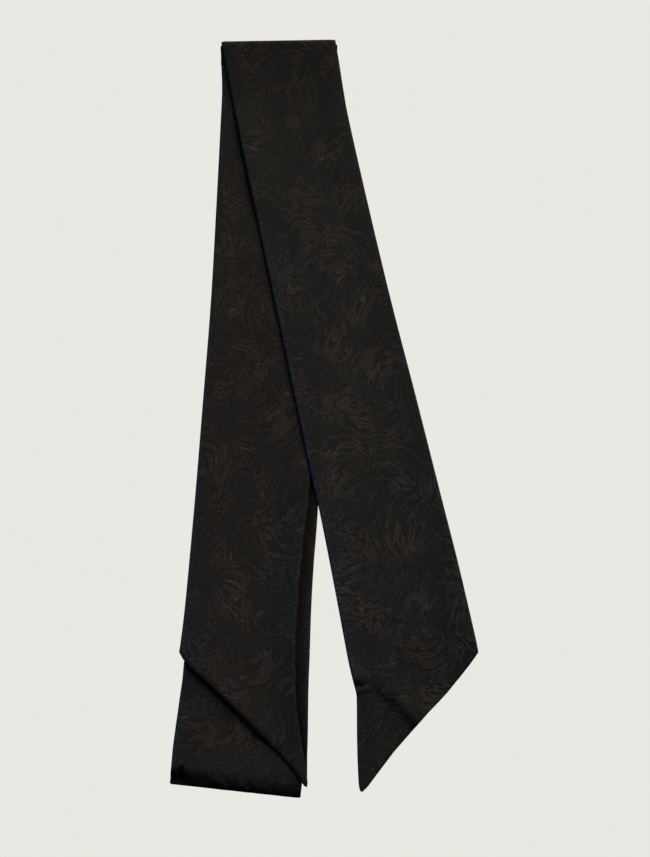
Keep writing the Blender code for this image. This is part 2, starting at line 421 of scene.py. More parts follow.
class Heights(NamedTuple):
    """Height of the middle of each stretch of the stack above the table, in metres."""

    back_run: float
    lower_run: float
    under_tail: float
    front_tail: float

    @classmethod
    def of_frame(cls) -> "Heights":
        """Reads them from the boxes of the solids, which all are as thick as the tube."""
        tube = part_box("front_tail")[1].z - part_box("under_tail")[1].z
        half = tube / 2 - Band.half_height * 0.15
        tops = (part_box(node)[1].z - half for node in ("lower_run", "under_tail", "front_tail"))
        return cls(Band.half_height + 0.05 * MM, *tops)


@dataclass(frozen=True)
class Turn:
    """Where a stretch turns over at the top into the one below it.

    Attributes:
        reach: How far the turn's middle stands out past its start.
        lip: What runs on below, back under the stretch.
        steps: Pieces of the half turn.
        lip_steps: Pieces of the lip.
    """

    reach: float
    lip: float
    steps: int = 14
    lip_steps: int = 8

    def before(self, first: np.ndarray, low_z: float) -> np.ndarray:
        """The rows of the lip and the turn, from the lip's end up to the first row of a stretch.

        Args:
            first: The first row, columns by xyz.
            low_z: Height of the middle of the stretch below.

        Returns:
            The new rows, without the first one itself.
        """
        outward = np.array([0.0, 1.0, 0.0])
        rows = []
        for share in np.linspace(1, 0, self.lip_steps + 1)[:-1]:
            row = first - outward * self.lip * share
            row[:, 2] = low_z
            rows.append(row)
        middle = (first[:, 2] + low_z) / 2
        rise = (first[:, 2] - low_z) / 2
        for angle in np.linspace(math.pi, 0, self.steps + 1)[:-1]:
            row = first + outward * self.reach * math.sin(angle)
            row[:, 2] = middle + rise * math.cos(angle)
            rows.append(row)
        return np.array(rows)


@dataclass(frozen=True)
class Puff:
    """How far a springy turn holds up the cloth beside it.

    Attributes:
        height: The height at the turn.
        y: Where the turn is.
        length: Over what length it dies out.
    """

    height: float
    y: float
    length: float

    def lift(self, points: np.ndarray) -> np.ndarray:
        """How far it lifts each of the points."""
        return self.height * np.clip(1 - (self.y - points[..., 1]) / self.length, 0, 1) ** 2


@dataclass(frozen=True)
class Layout:
    """Where on the cloth the turns lie, in metres from the front tail's corner."""

    top_turn: float = 0.60
    bottom_turn: float = 1.17
    inner_turn: float = 1.74


@dataclass(frozen=True)
class Slack:
    """The soft unevenness of cloth that lies loose: how high it is, and over what distance.

    Attributes:
        broad: Height of the broad waves.
        broad_size: Their size.
        small: Height of the small ones.
        small_size: Their size.
        seed: Picks another set of waves.
    """

    broad: float
    broad_size: float
    small: float
    small_size: float
    seed: float

    def lift(self, points: np.ndarray) -> np.ndarray:
        """How far it lifts each of the points."""
        broad = self.broad * unevenness(points, self.broad_size, self.seed)
        return broad + self.small * unevenness(points, self.small_size, self.seed + 3)


def turned_tail(
    flat: np.ndarray, z: np.ndarray, across: np.ndarray, turn: Turn, low_z: float, hem: np.ndarray
) -> Strip:
    """A tail with its turn and its lip before it, and its hem sewn shut.

    Args:
        flat: Its points seen from above.
        z: Their heights.
        across: Their distances from the left edge.
        turn: The turn at its start.
        low_z: Height of the middle of the stretch below it.
        hem: Share of the tube's height that each point has by its distance from the hem.

    Returns:
        The strip, with distances along the cloth that are 0 where the turn ends.
    """
    rows = np.concatenate([flat, z[..., None]], axis=-1)
    before = turn.before(rows[0], low_z)
    up_to = distance_down(np.concatenate([before, rows[:1]]))
    along = np.concatenate([up_to[:-1] - up_to[-1], distance_down(rows)])
    columns = across.shape[1]
    lead = np.broadcast_to(across[0], (len(before), columns))
    rise = np.concatenate([np.ones((len(before), columns)), hem])
    return Strip(np.concatenate([before, rows]), np.concatenate([lead, across]), along, rise)


@dataclass(frozen=True)
class FrontTail:
    """The upper end of the scarf, off the stack to the right, with its buckled tip.

    Attributes:
        left: Its left edge.
        right: Its right edge.
        stack_edge: The stack's right edge, which it falls over.
        hem: How far its hem reaches past a straight cut, at shares of the width.
        hang_widths: Over what width (x) it falls from the stack to the table, at some places (y).
        fall_start: Share of the fall's soft slope that lies before the stack's edge.
        fall_scale: How much of the whole slope is used up when it meets the table.
        hem_slant: Share of the distance to the hem down the cloth that lies square to the hem.
        twist: How far the cloth runs on per width, because the tail leaves the stack askew.
        seam_lift: How far the turned-in edges of the seam raise the upper ply on the right.
        puff: How the springy turn holds it up.
        turn: Its turn at the top.
        slack: How loosely it lies.
        folds: The buckle across the tip and the creases.
    """

    left: Pairs = (
        (-81.2, 277.6), (-60.7, 175.9), (-38.1, 68.4), (-15.9, -37.6), (-3.15, -96.9),
        (7.65, -151.9), (15.3, -193.1), (18.6, -207.1), (20.6, -214.8), (21.1, -221.1),
        (21.1, -246.7), (21.5, -266.3), (22.1, -277.0), (23.3, -279.7),
    )
    right: Pairs = (
        (7.6, 279.2), (8.8, 271.8), (10.2, 263.4), (13.6, 239.8), (17.5, 215.8), (30.7, 150.6),
        (48.0, 70.2), (66.3, -6.9), (83.1, -80.8), (92.9, -123.8), (98.8, -151.9), (104.4, -179.5),
        (105.5, -186.7),
    )
    stack_edge: Pairs = (
        (9.8, 300.0), (9.0, 278.3), (7.6, 246.9), (6.3, 215.3), (4.0, 149.3), (0.9, 69.4),
        (-2.7, -7.7), (-5.5, -84.6), (-8.3, -124.4), (-9.7, -152.3), (-12.5, -248.1),
        (-13.1, -300.0),
    )
    hem: Pairs = (
        (0.0, 0.5), (0.01, 1.5), (0.05, 2.0), (0.15, 1.2), (0.28, 0.3), (0.43, 0.7), (0.56, 1.1),
        (0.64, 2.0), (0.72, 2.6), (0.85, 2.4), (0.93, 2.0), (1.0, 1.0),
    )
    hang_widths: Pairs = (
        (18, -300), (24, -160), (38, -120), (60, -80), (95, -10), (130, 80),
    )
    fall_start: float = 0.15
    fall_scale: float = 1.06
    hem_slant: float = 0.77
    twist: float = 0.19
    seam_lift: float = 1.2 * MM
    puff: Puff = Puff(4.2 * MM, 281 * MM, 58 * MM)
    turn: Turn = Turn(reach=2.2 * MM, lip=14.0 * MM)
    slack: Slack = Slack(0.12 * MM, 34 * MM, 0.06 * MM, 13 * MM, 1.5)
    folds: tuple[Fold, ...] = (
        # the crest of the buckle, across to the hem; the cloth rises to it softly and then drops
        Fold(((29.0, -211.8), (34.0, -211.6), (40.5, -213.4), (45.5, -216.2), (50.0, -219.8),
              (54.4, -224.2), (58.6, -229.0), (64.5, -235.5)), 1.1, 2.6, 9.0, lean=-1.0,
             fade=(0.2, 0.0)),
        # its thin lip down to the left edge
        Fold(((17.5, -215.4), (21.3, -214.2), (26.0, -212.4), (32.0, -211.9)), 1.0, 0.9, 1.7,
             fade=(0.0, 0.3)),
        # the slack that stands up along the left edge before the pocket
        Fold(((12.0, -200.6), (18.3, -203.4), (23.5, -206.2), (28.5, -209.2)), 2.0, 1.5, 9.5,
             lean=-1.0, fade=(0.0, 0.2), end_width=3.2),
        Fold(((43.5, -211.0), (47.4, -214.1), (50.9, -217.1), (54.8, -221.7), (58.6, -227.1)), 0.3,
             0.3, 0.9),
        # the turn holds up the left edge near the top
        Fold(((-72.0, 232.0), (-60.0, 178.0), (-49.0, 125.0)), 1.3, 1.0, 14),
        # short creases higher up
        Fold(((19.3, -98.4), (25.0, -104.7)), -0.3, -0.3, 0.9),
        Fold(((47.0, -156.0), (70.0, -174.0), (88.0, -180.0)), 0.3, 0.2, 7),
    )

    def strip(self, band: Band, heights: Heights) -> Strip:
        """Lays the stretch out as a grid."""
        length = length_of(smooth_line(self.left))
        down = rows_to_hem(length, 3.2 * MM, band.roll, fine=(0.83, 0.95))
        across = band.columns(len(down), 1.3 * MM)
        share = across / band.width
        flat = with_hem(between(self.left, self.right, down, share), share, down, self.hem)
        z = heights.back_run + self.drop(flat, heights) + self.slack.lift(flat)
        z = z + self.puff.lift(flat) + lift_of(self.folds, flat)
        z = np.maximum(z, band.half_height + 0.02 * MM)
        to_hem = distance_down(flat[::-1])[::-1] * self.hem_slant
        strip = turned_tail(flat, z, across, self.turn, heights.back_run, band.rounding(to_hem))
        return strip._replace(along=Layout.top_turn - strip.along - self.twist * strip.across)

    def drop(self, flat: np.ndarray, heights: Heights) -> np.ndarray:
        """Height over the table: on the stack, then down beside it."""
        edge = smooth_line(self.stack_edge)[::-1]
        outside = flat[..., 0] - np.interp(flat[..., 1], edge[:, 1], edge[:, 0])
        widths, places = np.array(self.hang_widths).T * MM
        share = outside / np.interp(flat[..., 1], places, widths)
        fall = smoothstep(self.fall_start + share) - smoothstep(self.fall_start)
        full = heights.front_tail - heights.back_run
        return full * (1 - np.clip(fall * self.fall_scale, 0, 1))

    def build(self, maker: TubeMaker, heights: Heights) -> bpy.types.Object:
        """Builds the piece."""
        strip = self.strip(maker.band, heights)
        from_right = maker.band.width - strip.across
        below_turn = Layout.top_turn - strip.along - self.twist * strip.across
        lift = self.seam_lift * smoothstep((24 * MM - from_right) / (18 * MM))
        lift = lift * smoothstep(below_turn / (30 * MM))
        return maker.build("front_tail_cloth", strip, lift)


@dataclass(frozen=True)
class Seam:
    """The long seam where it has rolled to the front, beside the under tail's right edge.

    Attributes:
        widths: What lies to the right of it: y and width, in millimetres.
        turned_in: How far the turned-in edges reach to its left.
        lifts: How far (x) they raise the ply at some places (y).
        step: How far the cloth to its right lies lower.
        trough: How deep its stitches pull it in.
        crown: How far the cloth to its right rises again towards the edge.
        pucker: Height of the puckers beside it.
        nicks: Places where it is pulled in more: y, reach and depth, in millimetres.
    """

    widths: Pairs = (
        (-269.0, 0.5), (-260.0, 2.4), (-247.0, 5.6), (-233.0, 8.0), (-207.0, 9.8), (-187.0, 10.2),
        (-152.0, 9.9), (-124.0, 9.3), (-65.0, 6.7), (-40.0, 5.0), (-15.0, 2.5), (280.0, 2.5),
    )
    turned_in: float = 9 * MM
    lifts: Pairs = (
        (0.3, -270), (0.9, -215), (1.7, -190), (1.7, -100), (0.5, -60), (0.0, -40),
    )
    step: float = 0.7 * MM
    trough: float = 0.3 * MM
    pucker: float = 0.3 * MM
    crown: float = 1.3 * MM
    nicks: tuple[tuple[float, float, float], ...] = (
        (-82.0, 3.0, 0.6), (-96.0, 1.6, 0.4), (-108.5, 1.5, 0.5), (-122.0, 1.3, 0.35),
        (-140.0, 1.8, 0.5), (-153.0, 2.4, 0.6), (-166.0, 1.5, 0.6), (-178.5, 2.2, 0.5),
        (-192.0, 1.6, 0.5), (-205.0, 1.4, 0.4), (-219.0, 1.8, 0.5),
    )

    def width_at(self, y: np.ndarray) -> np.ndarray:
        """Width of the cloth to the right of the seam at each of these y."""
        table = np.array(self.widths) * MM
        wander = 0.35 * np.sin(y / (6.3 * MM)) + 0.3 * np.sin(y / (2.7 * MM) + 1.0)
        widths = np.interp(y, table[:, 0], table[:, 1])
        return widths + wander * np.clip(widths / (5 * MM), 0, 1) * MM * 0.6

    def columns(self, band: Band, y: np.ndarray, step: float) -> np.ndarray:
        """Distances from the left edge of the lines along the band, gathered along the seam.

        Args:
            band: The band.
            y: Where the seam is in each row.
            step: Spacing of the lines in the middle of the band.

        Returns:
            The distances, rows by columns.
        """
        beyond = self.width_at(y)[:, None]
        seam = band.width - beyond
        close = np.array([3.4, 2.6, 1.9, 1.3, 0.8, 0.4, 0.12, 0.0])[None, :] * MM
        body = np.linspace(0, 1, round(band.width / step))[None, :-1]
        first = band.roll
        past = np.array(
            [0.015, 0.05, 0.1, 0.17, 0.26, 0.37, 0.49, 0.61, 0.72, 0.81, 0.88, 0.94, 0.98, 1.0]
        )
        return np.concatenate(
            [
                np.broadcast_to(band.edge_lines()[None, :-1], (len(y), 6)),
                first + body * (seam - close[0, 0] - first),
                seam - close,
                seam + beyond * past[None, :],
            ],
            axis=1,
        )

    def relief(self, y: np.ndarray, past: np.ndarray, beyond: np.ndarray) -> np.ndarray:
        """How far the seam, its turned-in edges and its puckers raise the upper ply.

        Args:
            y: Where each point is along the seam.
            past: How far each point lies to the right of the seam.
            beyond: Width of the cloth to the right of the seam, for each point.

        Returns:
            The heights, below zero where the ply is pulled in.
        """
        away = past / MM
        left = smoothstep((away + self.turned_in / MM + 13) / 21)
        right = smoothstep((away + 0.2) / 0.7)
        lifts, places = np.array(self.lifts).T * MM
        level = np.interp(y, places, lifts) * left * (1 - right) - self.step * right
        spread = np.stack([y, np.zeros_like(y)], axis=-1)
        pull = 0.7 + 0.3 * unevenness(spread, 23 * MM, 3.1)
        pucker = unevenness(np.stack([y, past * 0.6], axis=-1), 4.6 * MM, 7.3)
        trough = self.trough * pull * np.exp(-(((away - 0.35) / 0.6) ** 2))
        ripple = self.pucker * pucker * np.exp(-((away / 3.4) ** 2))
        crown = self.crown * smoothstep(past / beyond) * np.clip(beyond / (5 * MM), 0, 1)
        pulled = np.zeros_like(y)
        for place, reach, depth in self.nicks:
            along = (y / MM - place - 0.25 * away) / reach
            pulled += depth * MM * np.exp(-(along**2) - ((away - 0.2) / 1.1) ** 2)
        return level - trough + ripple + crown - pulled


@dataclass(frozen=True)
class UnderTail:
    """The other end of the scarf, with its seam rolled to the front beside its right edge.

    Attributes:
        left: Its left edge.
        right: Its right edge.
        hem: How far its hem reaches past a straight cut, at shares of the width.
        hem_slant: Share of the distance to the hem down the cloth that lies square to the hem.
        hem_roll: How far in from the hem its rounding reaches, at the left and at the right.
        seam: The seam on its right.
        turn: Its turn at the top.
        puff: How far that turn holds it up.
        slack: How loosely it lies.
        folds: Its creases.
    """

    left: Pairs = (
        (-82.0, 275.9), (-81.4, 263.9), (-80.4, 239.9), (-81.0, 211.9), (-82.65, 148.5),
        (-85.15, 68.5), (-89.15, -8.1), (-93.2, -81.7), (-97.8, -152.3), (-100.3, -179.8),
        (-101.3, -187.6),
    )
    right: Pairs = (
        (9.0, 276.9), (7.6, 246.9), (6.3, 215.3), (4.0, 149.3), (0.9, 69.4), (-2.7, -7.7),
        (-5.5, -84.6), (-8.3, -124.4), (-10.0, -152.3), (-11.7, -185.2), (-12.6, -220.1),
        (-12.6, -248.1), (-12.6, -276.5),
    )
    hem: Pairs = (
        (0.0, 0.0), (0.03, 1.7), (0.05, 2.2), (0.1, 1.8), (0.17, 1.0), (0.33, -0.4), (0.51, -1.7),
        (0.79, -2.1), (0.89, -1.6), (0.955, 1.2), (0.98, 1.6), (1.0, 0.4),
    )
    hem_slant: float = 0.73
    hem_roll: tuple[float, float] = (4.2 * MM, 4.4 * MM)
    seam: Seam = Seam()
    turn: Turn = Turn(reach=1.3 * MM, lip=12.2 * MM)
    puff: Puff = Puff(4.2 * MM, 279 * MM, 58 * MM)
    slack: Slack = Slack(0.12 * MM, 36 * MM, 0.05 * MM, 12 * MM, 8.5)
    folds: tuple[Fold, ...] = (
        Fold(((-16.3, -82.1), (-25.6, -88.7)), -0.4, -0.2, 2.2),
        # the hem stands up a little from the stretch below it
        Fold(((-101.0, -190.0), (-66.0, -224.0), (-34.0, -252.0)), 0.4, 0.8, 11),
        Fold(((-72.0, -58.1), (-60.0, -108.1)), 0.25, 0.15, 9),
        # the tip lies a little high on the full turn below it
        Fold(((-36.0, -246.0), (-24.0, -262.0), (-12.0, -278.0)), 0.3, 1.5, 13, fade=(0.6, 0.0)),
    )

    def strip(self, band: Band, heights: Heights) -> Strip:
        """Lays the stretch out as a grid."""
        length = length_of(smooth_line(self.left))
        down = rows_to_hem(length, 5.6 * MM, self.hem_roll[0], fine=(0.48, 0.96))
        seam_y = points_at(smooth_line(self.right), down)[:, 1]
        across = self.seam.columns(band, seam_y, 2.4 * MM)
        share = across / band.width
        flat = with_hem(between(self.left, self.right, down, share), share, down, self.hem)
        z = heights.under_tail + self.slack.lift(flat) + self.puff.lift(flat)
        z += lift_of(self.folds, flat)
        to_hem = distance_down(flat[::-1])[::-1] * self.hem_slant
        roll = self.hem_roll[0] + (self.hem_roll[1] - self.hem_roll[0]) * share
        hem = band.rounding(to_hem, roll)
        strip = turned_tail(flat, z, across, self.turn, heights.lower_run, hem)
        return strip._replace(along=Layout.inner_turn + strip.along)

    def build(self, maker: TubeMaker, heights: Heights) -> bpy.types.Object:
        """Builds the piece."""
        strip = self.strip(maker.band, heights)
        y = np.broadcast_to(strip.middle[:, -1:, 1], strip.across.shape)
        beyond = self.seam.width_at(y)
        past = strip.across - (maker.band.width - beyond)
        lift = self.seam.relief(y, past, beyond)
        lift = lift * smoothstep((strip.along - Layout.inner_turn) / (30 * MM))
        return maker.build("under_tail_cloth", strip, lift, Ply.BACK, past)


@dataclass(frozen=True)
class LowerRun:
    """The stretch that shows below the under tail's hem, with the full, soft turn at the bottom.

    Attributes:
        left: Its left edge.
        right: Its right edge.
        reach: How far the turn's middle stands out past the last row.
        puff: How far the cloth swells up before the turn.
        puff_length: Over what length it does.
        end_puff: How far it swells up below the under tail's tip.
        end_length: Over what length it does there.
        puff_ends: The x between which both change.
        turn_height: How far over the lower cloth the turn stands out most.
        turn_steps: Pieces of the half turn.
        slack: How loosely it lies.
        folds: The creases that run over the turn.
    """

    left: Pairs = (
        (-96.6, -178.1), (-98.0, -195.1), (-98.8, -206.8), (-100.4, -220.2), (-103.1, -246.6),
        (-103.7, -254.1), (-104.2, -262.9),
    )
    right: Pairs = (
        (-11.1, -186.7), (-12.0, -213.1), (-12.4, -248.1), (-13.3, -260.5), (-15.9, -272.0),
    )
    reach: float = 11.4 * MM
    puff: float = 3.6 * MM
    end_puff: float = 1.9 * MM
    puff_length: float = 52 * MM
    end_length: float = 26 * MM
    puff_ends: tuple[float, float] = (-95 * MM, -30 * MM)
    turn_height: float = 0.8 * MM
    turn_steps: int = 26
    slack: Slack = Slack(0.1 * MM, 30 * MM, 0.05 * MM, 11 * MM, 6.5)
    folds: tuple[Fold, ...] = (
        # the pocket that is pressed into the left corner
        Fold(((-97.2, -262.5), (-98.0, -269.0), (-98.4, -276.0)), -0.6, -6.5, 0.9, fade=(0.1, 0.0),
             end_width=6.2),
        Fold(((-109.0, -275.5), (-102.0, -275.0), (-95.0, -278.0)), -6.5, -6.0, 5.6,
             fade=(0.0, 0.3)),
        # the two sharp creases beside it
        Fold(((-97.7, -264.7), (-95.9, -268.3), (-94.2, -272.1), (-92.1, -276.5)), 0.35, 0.45, 0.8,
             fade=(0.2, 0.0)),
        Fold(((-95.4, -263.4), (-93.6, -267.0), (-91.2, -270.8), (-86.4, -276.5)), 0.35, 0.45, 0.8,
             fade=(0.2, 0.0)),
        Fold(((-93.5, -267.5), (-92.0, -271.0), (-89.0, -276.5)), -0.35, -0.5, 0.9,
             fade=(0.3, 0.0)),
        Fold(((-97.3, -263.7), (-94.4, -260.5), (-91.5, -257.9), (-86.8, -256.0), (-80.2, -254.1)),
             0.22, 0.15, 1.0, fade=(0.1, 0.5)),
        # the cloth sinks beside them
        Fold(((-96.0, -273.5), (-87.0, -275.0), (-78.0, -278.5)), -1.8, -1.2, 5.0, fade=(0.0, 0.4)),
        # slanted ripples over the turn
        Fold(((-85.0, -268.0), (-78.0, -275.5)), -0.5, -0.7, 2.6, fade=(0.5, 0.0)),
        Fold(((-75.1, -270.4), (-68.4, -277.5)), 0.3, 0.5, 1.6, fade=(0.4, 0.0)),
        Fold(((-71.0, -267.5), (-63.4, -278.0)), -0.35, -0.5, 1.7, fade=(0.4, 0.0)),
        Fold(((-60.8, -270.7), (-53.8, -279.0)), 0.3, 0.45, 1.6, fade=(0.4, 0.0)),
        Fold(((-55.5, -272.5), (-49.0, -279.5)), -0.3, -0.5, 1.6, fade=(0.4, 0.0)),
        Fold(((-49.8, -273.0), (-44.4, -280.0)), 0.2, 0.4, 1.6, fade=(0.4, 0.0)),
        Fold(((-41.2, -274.0), (-34.0, -281.0)), -0.3, -0.4, 2.0, fade=(0.4, 0.0)),
        Fold(((-31.0, -273.0), (-26.0, -281.0)), 0.15, 0.3, 1.8, fade=(0.5, 0.0)),
    )

    def strip(self, band: Band, heights: Heights) -> Strip:
        """Lays the stretch out as a grid: down the run, round the turn and back below it."""
        down = np.concatenate([np.linspace(0, 0.78, 42)[:-1], np.linspace(0.78, 1, 29)])
        across = band.columns(len(down), 0.7 * MM)
        flat = between(self.left, self.right, down, across / band.width)
        to_turn = distance_down(flat[::-1])[::-1]
        start, end = self.puff_ends
        full = smoothstep((end - flat[..., 0]) / (end - start))
        puff = self.end_puff + (self.puff - self.end_puff) * full
        length = self.end_length + (self.puff_length - self.end_length) * full**2
        puff = puff * smoothstep(1 - to_turn / length)
        creases = lift_of(self.folds, flat)
        smooth = heights.lower_run + puff + self.slack.lift(flat)
        z = np.maximum(smooth + creases, heights.back_run + 0.5 * MM)
        upper = np.concatenate([flat, z[..., None]], axis=-1)
        lower = upper[::3].copy()
        lower[..., 2] = heights.back_run
        fold_line = flat[-1, -1] - flat[-1, 0]
        outward = np.array([fold_line[1], -fold_line[0], 0.0]) / np.hypot(*fold_line)
        last, low = upper[-1], heights.back_run
        middle = low + self.turn_height
        rim = (last + outward * self.reach)[None, :, :2]
        rippled = 0.12 * lift_of(self.folds, rim)[0]
        reach = (self.reach + np.maximum(rippled, -0.1 * MM))[:, None]
        turn = []
        for angle in np.linspace(0, math.pi, self.turn_steps + 1)[1:-1]:
            row = last + outward * reach * math.sin(angle)
            if angle < math.pi / 2:
                crease = lift_of(self.folds, row[None, :, :2])[0]
                full = (smooth[-1] - middle + crease) * math.cos(angle) ** 0.9
                row[:, 2] = middle + np.maximum(full, 0.0)
            else:
                row[:, 2] = middle + self.turn_height * math.cos(angle)
            turn.append(row)
        rows = np.concatenate([upper, np.array(turn), lower[::-1]])
        along = distance_down(rows)
        half_way = along[len(upper) + self.turn_steps // 2]
        across = np.broadcast_to(across[0], rows.shape[:2])
        return Strip(rows, across, Layout.bottom_turn - (along - half_way[None, :]), None)

    def build(self, maker: TubeMaker, heights: Heights) -> bpy.types.Object:
        """Builds the piece."""
        return maker.build("lower_run_cloth", self.strip(maker.band, heights))


@dataclass(frozen=True)
class HiddenRun:
    """One of the two runs below the under tail, open at both ends, where the turns carry it on.

    Attributes:
        name: Name of the piece.
        up: The ply that lies up.
        cloth_start: Where on the cloth its first row lies.
        cloth_direction: 1 where it runs on down the cloth, -1 where it runs back.
        left: Its left edge.
        right: Its right edge.
    """

    name: str
    up: Ply
    cloth_start: float
    cloth_direction: float
    left: Pairs = (
        (-81.0, 264.0), (-79.8, 239.9), (-79.8, 211.9), (-81.2, 148.5), (-83.8, 68.5),
        (-87.6, -8.1), (-91.4, -81.7), (-95.0, -152.3), (-96.6, -177.8),
    )
    right: Pairs = (
        (8.0, 265.6), (5.4, 215.3), (2.9, 149.3), (-0.2, 69.4), (-3.8, -7.7), (-6.6, -84.6),
        (-10.0, -152.3), (-11.1, -186.4),
    )

    def build(self, maker: TubeMaker, height: float) -> bpy.types.Object:
        """Builds the piece with the middle of its tube at this height."""
        down = np.linspace(0, 1, 90)
        across = maker.band.columns(len(down), 4.4 * MM)
        flat = between(self.left, self.right, down, across / maker.band.width)
        rows = np.concatenate([flat, np.full(flat.shape[:2], height)[..., None]], axis=-1)
        along = self.cloth_start + self.cloth_direction * distance_down(rows)
        return maker.build(self.name, Strip(rows, across, along, None), up=self.up)


Value = bpy.types.NodeSocket | float | tuple[float, ...] | None
Adder = Callable[..., Value]


def add_node(
    tree: bpy.types.NodeTree, kind: str, *values: Value, give: str | None = None, **settings: object
) -> bpy.types.NodeSocket | None:
    """Adds a node to a tree, sets it up and fills its inputs.

    Args:
        tree: The tree.
        kind: The node's type and, after a space, its operation.
        *values: What its usable inputs get, in their order: a socket is joined, None is left alone.
        give: Name of the output that is wanted, or None for the first usable one.
        **settings: Its settings, by their names.

    Returns:
        That output, or None from a node that has none.
    """
    kind, _, operation = kind.partition(" ")
    if operation:
        settings["operation"] = operation
    node = tree.nodes.new(kind if kind.startswith("Node") else f"ShaderNode{kind}")
    for setting, choice in settings.items():
        setattr(node, setting, choice)
    usable = [socket for socket in node.inputs if socket.enabled and not socket.is_unavailable]
    for socket, value in zip(usable, values):
        if isinstance(value, bpy.types.NodeSocket):
            tree.links.new(value, socket)
        elif value is not None:
            socket.default_value = value
    if give:
        return node.outputs[give]
    usable = (socket for socket in node.outputs if socket.enabled and not socket.is_unavailable)
    return next(usable, None)


def linear(hex_code: str) -> tuple[float, float, float, float]:
    """A linear colour from its sRGB hex code."""
    channels = [int(hex_code[i : i + 2], 16) / 255 for i in (1, 3, 5)]
    return (*(c / 12.92 if c <= 0.04045 else ((c + 0.055) / 1.055) ** 2.4 for c in channels), 1.0)


@dataclass(frozen=True)
class Plume:
    """One curled leaf plume of the woven figure, in millimetres and degrees on the cloth.

    Attributes:
        base: Where it grows from.
        turn: The way that it grows.
        length: How long it is.
        spread: How far it opens to each side.
        curl: How much it winds, in radians along its length.
        lobes: How many lobes it opens into on each side.
        seed: Picks how long each lobe is.
    """

    base: tuple[float, float]
    turn: float
    length: float
    spread: float
    curl: float
    lobes: float
    seed: float

    def values(self) -> tuple[tuple[float, ...] | float, ...]:
        """Its sizes in the order of the plume group's inputs."""
        turn, spread = -math.radians(self.turn), math.radians(self.spread)
        return (*self.base, 0.0), turn, self.length, spread, self.curl, self.lobes, self.seed


